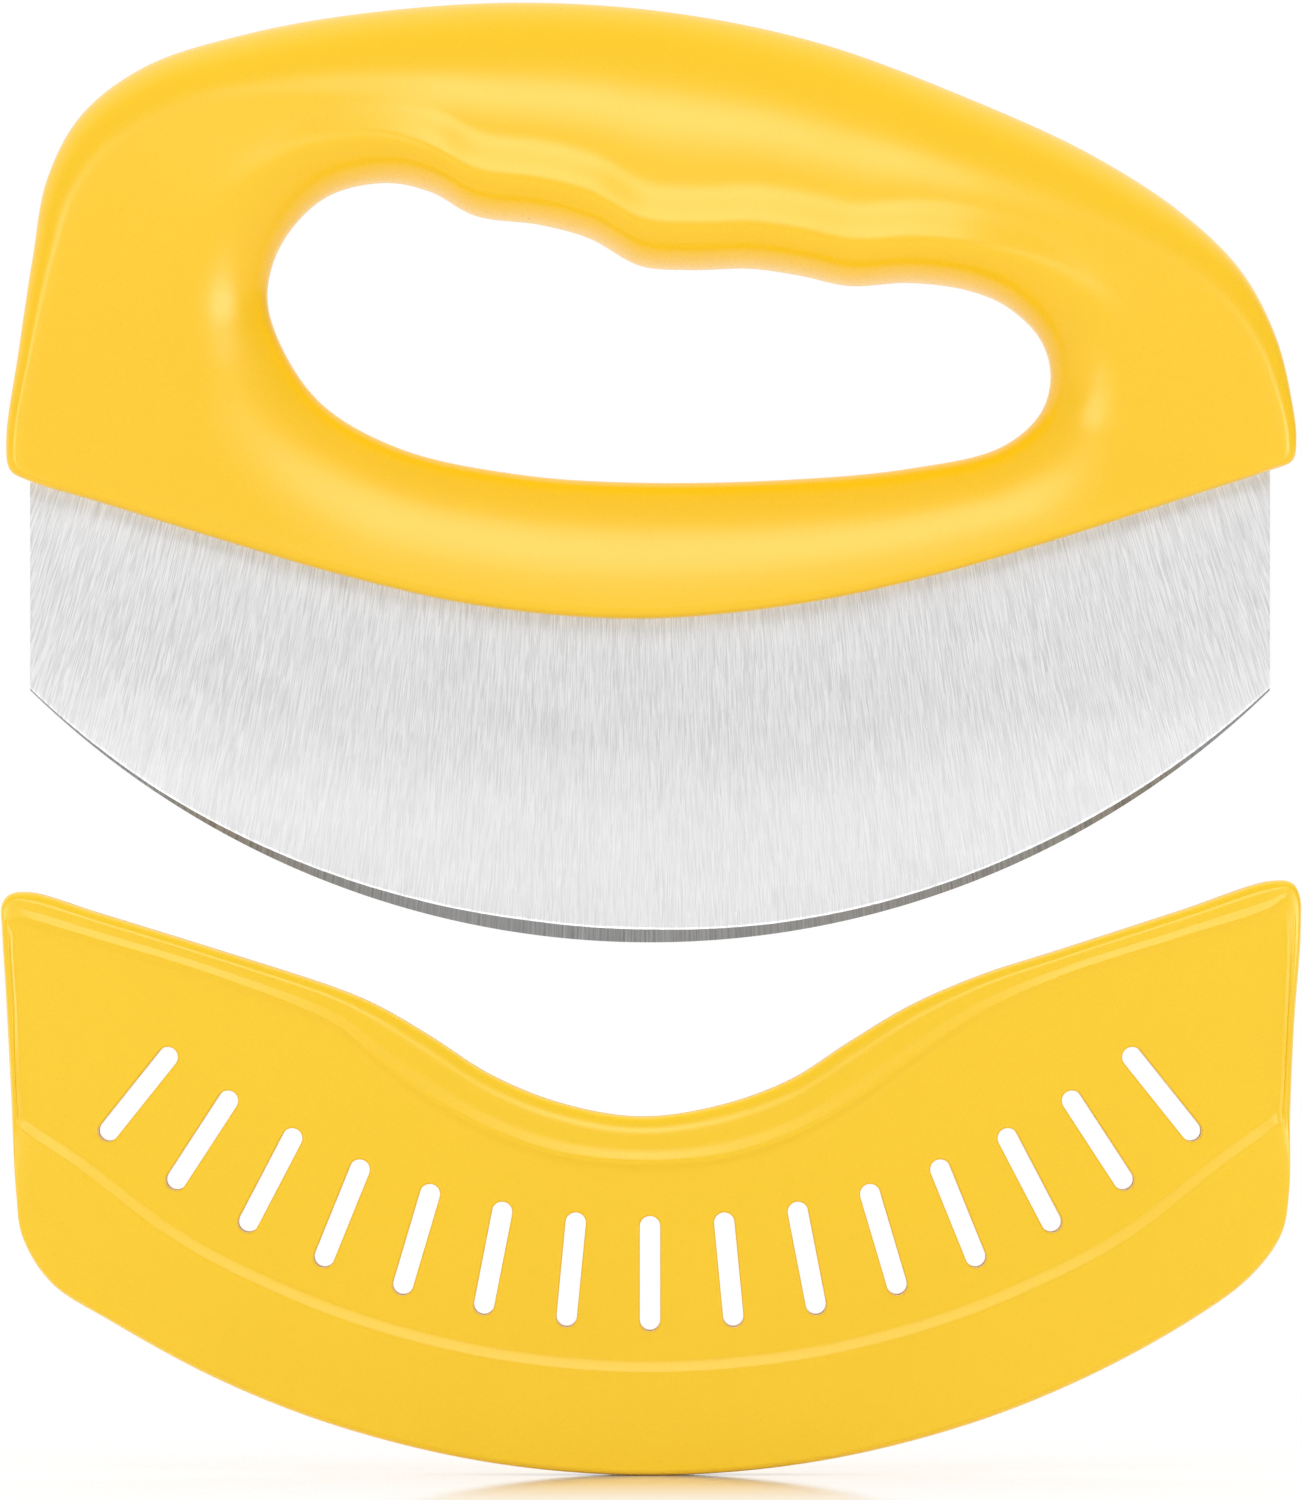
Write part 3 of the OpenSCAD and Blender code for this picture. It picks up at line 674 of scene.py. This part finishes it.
def round_corners(points, cut):
    """Points of a line with its inner corners rounded over, without its first point."""
    line = []
    for before, corner, after in zip(points, points[1:], points[2:]):
        start = toward(corner, before, cut)
        end = toward(corner, after, cut)
        for j in range(CORNER_STEPS + 1):
            t = j / CORNER_STEPS
            a = [mix(p, q, t) for p, q in zip(start, corner)]
            b = [mix(p, q, t) for p, q in zip(corner, end)]
            line.append(tuple(mix(p, q, t) for p, q in zip(a, b)))
    line.append(points[-1])
    return line


def toward(start, end, distance):
    """Point at a distance from one point towards another."""
    span = math.dist(start, end)
    return [mix(p, q, distance / max(span, 1e-9)) for p, q in zip(start, end)]


def add(tree, kind, links=(), **settings):
    """Add a node with its settings, and fill its inputs with values or links."""
    node = tree.nodes.new(kind)
    for name, value in settings.items():
        setattr(node, name, value)
    for socket, source in links:
        if isinstance(source, bpy.types.NodeSocket):
            tree.links.new(source, node.inputs[socket])
        else:
            node.inputs[socket].default_value = source
    return node


def new_material(name):
    """An empty node material and its node tree."""
    material = bpy.data.materials.new(name)
    material.use_nodes = True
    material.node_tree.nodes.clear()
    return material, material.node_tree


def moulded_abs(name, shade):
    """Injection-moulded ABS, satin: an even saturated yellow with soft broad
    highlights, a hardly visible mottle from the flow and a fine spark-eroded grain."""
    material, tree = new_material(name)
    place = add(tree, "ShaderNodeTexCoord").outputs["Object"]
    # Clouds of flow about 25 mm across, which shift the shade by a hundredth or two
    flow = add(tree, "ShaderNodeTexNoise", [("Vector", place), ("Scale", 40), ("Detail", 2)])
    tone = add(
        tree, "ShaderNodeMapRange",
        [("Value", flow.outputs["Fac"]), ("To Min", 0.985), ("To Max", 1.015)],
    )
    base = add(
        tree, "ShaderNodeVectorMath",
        [(0, shade), (1, tone.outputs["Result"])], operation="MULTIPLY",
    )
    # Grain of the spark-eroded mould, 0.25 mm, a little coarser than the real 0.1 mm
    grain = add(
        tree, "ShaderNodeTexNoise",
        [("Vector", place), ("Scale", 4000), ("Detail", 1), ("Roughness", 0.6)],
    )
    gloss = add(
        tree, "ShaderNodeMapRange",
        [("Value", grain.outputs["Fac"]), ("To Min", 0.26), ("To Max", 0.30)],
    )
    bump = add(
        tree, "ShaderNodeBump",
        [("Strength", 0.04), ("Distance", 0.00005), ("Height", grain.outputs["Fac"])],
    )
    shader = add(
        tree, "ShaderNodeBsdfPrincipled",
        [("Base Color", base.outputs["Vector"]), ("Roughness", gloss.outputs["Result"]),
         ("IOR", 1.54), ("Normal", bump.outputs["Normal"])],
    )
    add(tree, "ShaderNodeOutputMaterial", [("Surface", shader.outputs["BSDF"])])
    return material


def fan_of_marks(tree, centre):
    """Sockets for steel that is brushed along rays from a point high over the blade: the angle
    and the distance from that point as a flat vector, and the direction of the ray."""
    place = add(tree, "ShaderNodeTexCoord").outputs["Object"]
    ray = add(
        tree, "ShaderNodeVectorMath", [(0, place), (1, (0, 0, centre))], operation="SUBTRACT",
    )
    ray = add(
        tree, "ShaderNodeVectorMath",
        [(0, ray.outputs["Vector"]), (1, (1, 0, 1))], operation="MULTIPLY",
    ).outputs["Vector"]
    parts = add(tree, "ShaderNodeSeparateXYZ", [("Vector", ray)]).outputs
    down = add(
        tree, "ShaderNodeMath", [(0, parts["Z"]), (1, -1)], operation="MULTIPLY",
    ).outputs["Value"]
    turn = add(
        tree, "ShaderNodeMath", [(0, parts["X"]), (1, down)], operation="ARCTAN2",
    ).outputs["Value"]
    away = add(tree, "ShaderNodeVectorMath", [(0, ray)], operation="LENGTH").outputs["Value"]
    fan = add(tree, "ShaderNodeCombineXYZ", [("X", turn), ("Y", away)]).outputs["Vector"]
    return fan, ray


def drawn_out(tree, fan, lean, scale):
    """Coordinates drawn out along the rays of a fan, leaning a little to one side of them."""
    tilted = add(
        tree, "ShaderNodeMapping", [("Vector", fan), ("Rotation", (0, 0, lean))],
    ).outputs["Vector"]
    return add(
        tree, "ShaderNodeVectorMath", [(0, tilted), (1, scale)], operation="MULTIPLY",
    ).outputs["Vector"]


def soft_marks(tree, fan, scale, detail):
    """Soft noise drawn out along the rays of a fan."""
    noise = add(
        tree, "ShaderNodeTexNoise",
        [("Vector", drawn_out(tree, fan, 0, scale)), ("Scale", 1), ("Detail", detail),
         ("Roughness", 0.65)],
    )
    return noise.outputs["Fac"]


def crisp_marks(tree, fan, lean, scale):
    """Narrow cells along the rays of a fan, each with a tone of its own."""
    cells = add(
        tree, "ShaderNodeTexVoronoi",
        [("Vector", drawn_out(tree, fan, lean, scale)), ("Scale", 1)],
        voronoi_dimensions="2D",
    )
    return cells.outputs["Color"]


def brushed_stainless(name, sizes):
    """Stainless strip brushed across with a worn belt: fine short marks, nearly upright, that
    fan out a little downwards and cross each other at about a degree."""
    material, tree = new_material(name)
    fan, ray = fan_of_marks(tree, sizes.brush_centre)
    # Marks 0.15 mm wide, drawn coarser than the real 0.05 mm, and about 3 mm long
    layers = [crisp_marks(tree, fan, lean, scale) for lean, scale in MARK_LAYERS]
    marks = layers[0]
    for layer in layers[1:]:
        marks = add(
            tree, "ShaderNodeMath", [(0, marks), (1, layer)], operation="ADD",
        ).outputs["Value"]
    # Cloudy bands across the marks, about 6 mm high, where the belt pressed harder
    press = soft_marks(tree, fan, (14, 160, 1), 2)
    # The last 20 mm above the middle of the cutting edge are painted brighter, a painted
    # reflection of the studio, and the marks there are fainter
    away = add(tree, "ShaderNodeSeparateXYZ", [("Vector", fan)]).outputs["Y"]
    reflection_band = add(
        tree, "ShaderNodeMapRange",
        [("Value", away), ("From Min", REFLECTION_BAND_START), ("From Max", REFLECTION_BAND_FULL)],
        interpolation_type="SMOOTHSTEP",
    ).outputs["Result"]
    plain, bright = [
        add(
            tree, "ShaderNodeMapRange",
            [("Value", marks), ("From Min", MARKS_LOW), ("From Max", MARKS_HIGH),
             ("To Min", low), ("To Max", high)],
        ).outputs["Result"]
        for low, high in (PLATE_TONES, REFLECTION_BAND_TONES)
    ]
    tone = add(
        tree, "ShaderNodeMix", [("Factor", reflection_band), ("A", plain), ("B", bright)],
    ).outputs["Result"]
    cloud = add(
        tree, "ShaderNodeMapRange",
        [("Value", press), ("From Min", 0.3), ("From Max", 0.7), ("To Min", 0.985),
         ("To Max", 1.015)],
    ).outputs["Result"]
    both = add(tree, "ShaderNodeMath", [(0, tone), (1, cloud)], operation="MULTIPLY")
    base = add(
        tree, "ShaderNodeVectorMath",
        [(0, tuple(sizes.colour)), (1, both.outputs["Value"])], operation="MULTIPLY",
    )
    gloss = add(
        tree, "ShaderNodeMapRange",
        [("Value", marks), ("From Min", MARKS_LOW), ("From Max", MARKS_HIGH), ("To Min", 0.44),
         ("To Max", 0.36)],
    )
    bump = add(
        tree, "ShaderNodeBump", [("Strength", 0.2), ("Distance", 0.00002), ("Height", marks)],
    )
    shader = add(
        tree, "ShaderNodeBsdfPrincipled",
        [("Base Color", base.outputs["Vector"]), ("Metallic", 1.0),
         ("Roughness", gloss.outputs["Result"]), ("Anisotropic", 0.2),
         ("Anisotropic Rotation", 0.25), ("Tangent", ray), ("Normal", bump.outputs["Normal"])],
    )
    add(tree, "ShaderNodeOutputMaterial", [("Surface", shader.outputs["BSDF"])])
    return material


def ground_and_shaded_stainless(name, sizes):
    """The same steel ground on a coarse wheel square to the edge, with open scratches. Its darker
    grey is painted shade, for the dark reflection on the downward-facing bevel.
    """
    material, tree = new_material(name)
    fan, ray = fan_of_marks(tree, sizes.brush_centre)
    # Scratches 0.3 mm wide that run over the whole bevel
    scratches = soft_marks(tree, fan, (1000, 60, 1), 3)
    tone = add(
        tree, "ShaderNodeMapRange",
        [("Value", scratches), ("From Min", 0.3), ("From Max", 0.7), ("To Min", 0.65),
         ("To Max", 1.35)],
    )
    base = add(
        tree, "ShaderNodeVectorMath",
        [(0, tuple(sizes.bevel_shade_colour)), (1, tone.outputs["Result"])], operation="MULTIPLY",
    )
    shader = add(
        tree, "ShaderNodeBsdfPrincipled",
        [("Base Color", base.outputs["Vector"]), ("Metallic", 1.0), ("Roughness", 0.45),
         ("Tangent", ray)],
    )
    add(tree, "ShaderNodeOutputMaterial", [("Surface", shader.outputs["BSDF"])])
    return material


class CUTTER_OT_handle(bpy.types.Operator):
    """Model the two hollow shells of the handle"""

    bl_idname = "cutter.handle"
    bl_label = "Handle shells"

    def execute(self, context):
        scene = context.scene
        sizes = scene.cutter_handle
        form = HandleForm(sizes)
        blade = BladeForm(sizes, scene.cutter_blade)
        plastic = moulded_abs("moulded_abs_handle", tuple(sizes.colour))
        for side, name, node in (
            (-1, "handle_front", "handle_front_shell"), (1, "handle_rear", "handle_rear_shell"),
        ):
            shell = draw_out(name, form.loops(side), True)
            cut_out(shell, tang_pocket(blade, sizes.tang_gap))
            finish_piece(shell, "cutter", node, plastic, 50, False)
        return {"FINISHED"}


def tang_pocket(form, gap):
    """Block as thick as the blade, with the blade's outline grown by a gap."""
    half = form.blade.thickness / 2
    foot = form.edge_z
    line = [(-form.half - gap, foot), (form.half + gap, foot)] + form.tang(gap)
    return draw_out("tang_pocket", [[(x, y, z) for x, z in line] for y in (-half, half)], False)


class CUTTER_OT_blade(bpy.types.Operator):
    """Model the brushed blade with its ground edge"""

    bl_idname = "cutter.blade"
    bl_label = "Blade"

    def execute(self, context):
        scene = context.scene
        form = BladeForm(scene.cutter_handle, scene.cutter_blade)
        piece = draw_out("blade_plate", blade_loops(form), False)
        steel = brushed_stainless("brushed_stainless", scene.cutter_blade)
        finish_piece(piece, "cutter", "blade", steel, 3, False)
        # The bevel's material, ground steel whose darker grey is painted shade
        piece.data.materials.append(ground_and_shaded_stainless("ground_and_shaded_stainless", scene.cutter_blade))
        low, high = BEVEL_FORWARD
        for face in piece.data.polygons:
            if low < abs(face.normal.y) < high and face.normal.z < -BEVEL_DOWN:
                face.material_index = 1
        return {"FINISHED"}


def cover_pocket(form):
    """Block that leaves the room for the blade, open at the top of the cover."""
    c, plate = form.cover, form.plate
    half = plate.half + c.side_gap
    deep = plate.blade.thickness / 2 + c.face_gap
    arc = plate.arc(plate.blade.radius + c.tip_gap, half, ROOM_STEPS)
    top = plate.handle.crown
    line = arc + [(half, top), (-half, top)]
    loops = [[(x, y, z - c.travel) for x, z in line] for y in (-deep, deep)]
    return draw_out("blade_room", loops, False)


def drain_slots(form):
    """Plugs for the drain slots, flared where they leave the panel."""
    c = form.cover
    radius = (form.panel_r + form.plate.arc_z - form.dip_z + c.dip + c.lip_height) / 2
    span = 2 * math.asin((form.width / 2 - c.slot_inset) / radius)
    straight = (c.slot_length - c.slot_width) / 2
    plugs = []
    for number in range(c.slots):
        angle = span * (number / (c.slots - 1) - 0.5)
        loops = [slot_loop(form, angle, radius, straight, c.slot_round, -c.panel)]
        for k in range(1, FLARE_STEPS + 1):
            lean = math.pi / 2 * k / FLARE_STEPS
            grow = c.slot_round * (1 - math.sin(lean))
            depth = c.panel / 2 - c.slot_round * (1 - math.cos(lean))
            loops.append(slot_loop(form, angle, radius, straight, grow, -depth))
        rear = [[(x, -y, z) for x, y, z in loop] for loop in reversed(loops)]
        plugs.append(draw_out("slot", loops + rear, False))
    deselect()
    for plug in plugs:
        plug.select_set(True)
    bpy.context.view_layer.objects.active = plugs[0]
    bpy.ops.object.join()
    return plugs[0]


def slot_loop(form, angle, radius, straight, grow, y):
    """Outline of a drain slot, grown by an amount, at a depth."""
    c = form.cover
    loop = []
    for end in (1, -1):
        for k in range(SLOT_STEPS + 1):
            turn = math.pi * (k / SLOT_STEPS) + (0 if end > 0 else math.pi)
            across = (c.slot_width / 2 + grow) * math.cos(turn)
            along = end * straight + (c.slot_width / 2 + grow) * math.sin(turn)
            r = radius - along
            x = r * math.sin(angle) + across * math.cos(angle)
            z = form.plate.arc_z - r * math.cos(angle) + across * math.sin(angle)
            loop.append((x, y, z - c.travel))
    return loop


class CUTTER_OT_cover(bpy.types.Operator):
    """Model the two halves of the cover with the pocket and the drain slots"""

    bl_idname = "cutter.cover"
    bl_label = "Cover halves"

    def execute(self, context):
        scene = context.scene
        plate = BladeForm(scene.cutter_handle, scene.cutter_blade)
        form = CoverForm(scene.cutter_cover, plate)
        plastic = moulded_abs("moulded_abs_cover", tuple(scene.cutter_cover.colour))
        for side, name, node in (
            (-1, "cover_front", "cover_front_half"), (1, "cover_rear", "cover_rear_half"),
        ):
            half = draw_out(name, form.loops(side), False)
            cut_out(half, cover_pocket(form))
            cut_out(half, drain_slots(form))
            finish_piece(half, "cover", node, plastic, 40, True)
        return {"FINISHED"}


def soft_box(name, radiance, size, place):
    """A soft box: a rectangle of light that faces the object and doesn't show itself."""
    data = bpy.data.lights.new(name, "AREA")
    data.shape = "RECTANGLE"
    data.size, data.size_y = size
    # The radiance of an area lamp is a quarter of its power over its area
    data.energy = radiance * 4 * size[0] * size[1]
    light = bpy.data.objects.new(name, data)
    light.location = place
    aim = LIGHT_AIM - Vector(place)
    light.rotation_euler = aim.to_track_quat("-Z", "Y").to_euler()
    light.visible_camera = False
    light.visible_diffuse = False
    bpy.context.scene.collection.objects.link(light)


def seen_share(tree):
    """Socket that is 1 for what the camera, a reflection or a clear material sees."""
    path = add(tree, "ShaderNodeLightPath").outputs
    direct = add(
        tree, "ShaderNodeMath",
        [(0, path["Is Camera Ray"]), (1, path["Is Glossy Ray"])], operation="MAXIMUM",
    )
    either = add(
        tree, "ShaderNodeMath",
        [(0, direct.outputs["Value"]), (1, path["Is Transmission Ray"])], operation="MAXIMUM",
    )
    return either.outputs["Value"]


def painted_floor(name, shade):
    """Glossy white paint. It keeps the object's shadow and its mirror image near the object,
    and further away most of what shows of it is plain white."""
    material, tree = new_material(name)
    place = add(tree, "ShaderNodeTexCoord").outputs["Object"]
    across = add(tree, "ShaderNodeSeparateXYZ", [("Vector", place)]).outputs["Y"]
    away = add(tree, "ShaderNodeMath", [(0, across)], operation="ABSOLUTE").outputs["Value"]
    fade = add(
        tree, "ShaderNodeMapRange",
        [("Value", away), ("From Min", FADE_START), ("From Max", FADE_END), ("To Min", 0),
         ("To Max", FLOOR_WHITE)],
    ).outputs["Result"]
    share = add(tree, "ShaderNodeMath", [(0, seen_share(tree)), (1, fade)], operation="MULTIPLY")
    paint = add(
        tree, "ShaderNodeBsdfPrincipled",
        [("Base Color", (*shade, 1)), ("Roughness", 0.08), ("IOR", 1.45)],
    )
    glow = add(tree, "ShaderNodeEmission", [("Color", (*shade, 1)), ("Strength", 1)])
    blend = add(
        tree, "ShaderNodeMixShader",
        [(0, share.outputs["Value"]), (1, paint.outputs["BSDF"]), (2, glow.outputs["Emission"])],
    )
    add(tree, "ShaderNodeOutputMaterial", [("Surface", blend.outputs["Shader"])])
    return material


def studio_world(name, sizes):
    """White all round for the camera. The light and the reflections that come from it are
    dimmer in front, where the camera stands, and on the right, where the studio is dark."""
    world = bpy.data.worlds.new(name)
    world.use_nodes = True
    tree = world.node_tree
    tree.nodes.clear()
    facing = add(tree, "ShaderNodeSeparateXYZ", [
        ("Vector", add(tree, "ShaderNodeTexCoord").outputs["Generated"]),
    ]).outputs
    front = add(
        tree, "ShaderNodeMapRange",
        [("Value", facing["Y"]), ("From Min", -0.3), ("From Max", 0.2),
         ("To Min", sizes.front), ("To Max", 1.0)],
    )
    side = add(
        tree, "ShaderNodeMapRange",
        [("Value", facing["X"]), ("From Min", 0.5), ("From Max", 0.8),
         ("To Min", 1.0), ("To Max", sizes.side)],
    )
    room = add(
        tree, "ShaderNodeMath",
        [(0, front.outputs["Result"]), (1, side.outputs["Result"])], operation="MULTIPLY",
    )
    path = add(tree, "ShaderNodeLightPath").outputs
    shown = add(
        tree, "ShaderNodeMix",
        [("Factor", path["Is Diffuse Ray"]), ("A", room.outputs["Value"]), ("B", sizes.fill)],
    )
    strength = add(
        tree, "ShaderNodeMix",
        [("Factor", path["Is Camera Ray"]), ("A", shown.outputs["Result"]), ("B", 1.0)],
    )
    back = add(
        tree, "ShaderNodeBackground",
        [("Color", (1, 1, 1, 1)), ("Strength", strength.outputs["Result"])],
    )
    add(tree, "ShaderNodeOutputWorld", [("Surface", back.outputs["Background"])])
    return world


class CUTTER_OT_stage(bpy.types.Operator):
    """Set up the floor, the lamps, the surroundings and the camera"""

    bl_idname = "cutter.stage"
    bl_label = "Studio"

    def execute(self, context):
        scene = context.scene
        stage = scene.cutter_stage
        deselect()
        bpy.ops.mesh.primitive_plane_add(size=stage.floor, location=(0, 0, CAD_BOX[0].z))
        floor = context.object
        floor.name = floor.data.name = "studio_floor"
        floor.data.materials.append(painted_floor("painted_floor", tuple(stage.colour)))
        scene.world = studio_world("studio", stage)
        for box in SOFT_BOXES:
            soft_box(*box)

        data = bpy.data.cameras.new("camera")
        camera = bpy.data.objects.new("camera", data)
        scene.collection.objects.link(camera)
        data.sensor_width = 36
        data.lens = data.sensor_width * stage.distance / (PHOTO_H * METRES_PER_PIXEL)
        camera.location = (
            (PHOTO_W / 2 - PHOTO_ORIGIN[0]) * METRES_PER_PIXEL, -stage.distance,
            (PHOTO_ORIGIN[1] - PHOTO_H / 2) * METRES_PER_PIXEL,
        )
        camera.rotation_euler = (math.pi / 2, 0, 0)
        scene.camera = camera
        scene.view_settings.view_transform = "Standard"
        return {"FINISHED"}


class CUTTER_PT_panel(bpy.types.Panel):
    """Sidebar panel with the pieces and their sizes"""

    bl_label = "Cutter"
    bl_space_type = "VIEW_3D"
    bl_region_type = "UI"
    bl_category = "Cutter"

    def draw(self, context):
        for operator, group in STEPS:
            self.layout.operator(operator.bl_idname)
            settings = getattr(context.scene, group)
            for name in settings.__annotations__:
                self.layout.prop(settings, name)


STEPS = (
    (CUTTER_OT_handle, "cutter_handle"), (CUTTER_OT_blade, "cutter_blade"),
    (CUTTER_OT_cover, "cutter_cover"), (CUTTER_OT_stage, "cutter_stage"),
)
GROUPS = {
    "cutter_handle": HandleSettings, "cutter_blade": BladeSettings,
    "cutter_cover": CoverSettings, "cutter_stage": StageSettings,
}
CLASSES = (*GROUPS.values(), *(operator for operator, _ in STEPS), CUTTER_PT_panel)


def register():
    """Register the settings, the operators and the panel."""
    for part in CLASSES:
        bpy.utils.register_class(part)
    for name, group in GROUPS.items():
        setattr(bpy.types.Scene, name, PointerProperty(type=group))


def unregister():
    """Take the settings, the operators and the panel out again."""
    for name in GROUPS:
        delattr(bpy.types.Scene, name)
    for part in reversed(CLASSES):
        bpy.utils.unregister_class(part)


def main():
    """Make every piece and the stage."""
    register()
    bpy.ops.cutter.handle()
    bpy.ops.cutter.blade()
    bpy.ops.cutter.cover()
    bpy.ops.cutter.stage()


if __name__ == "__main__":
    main()
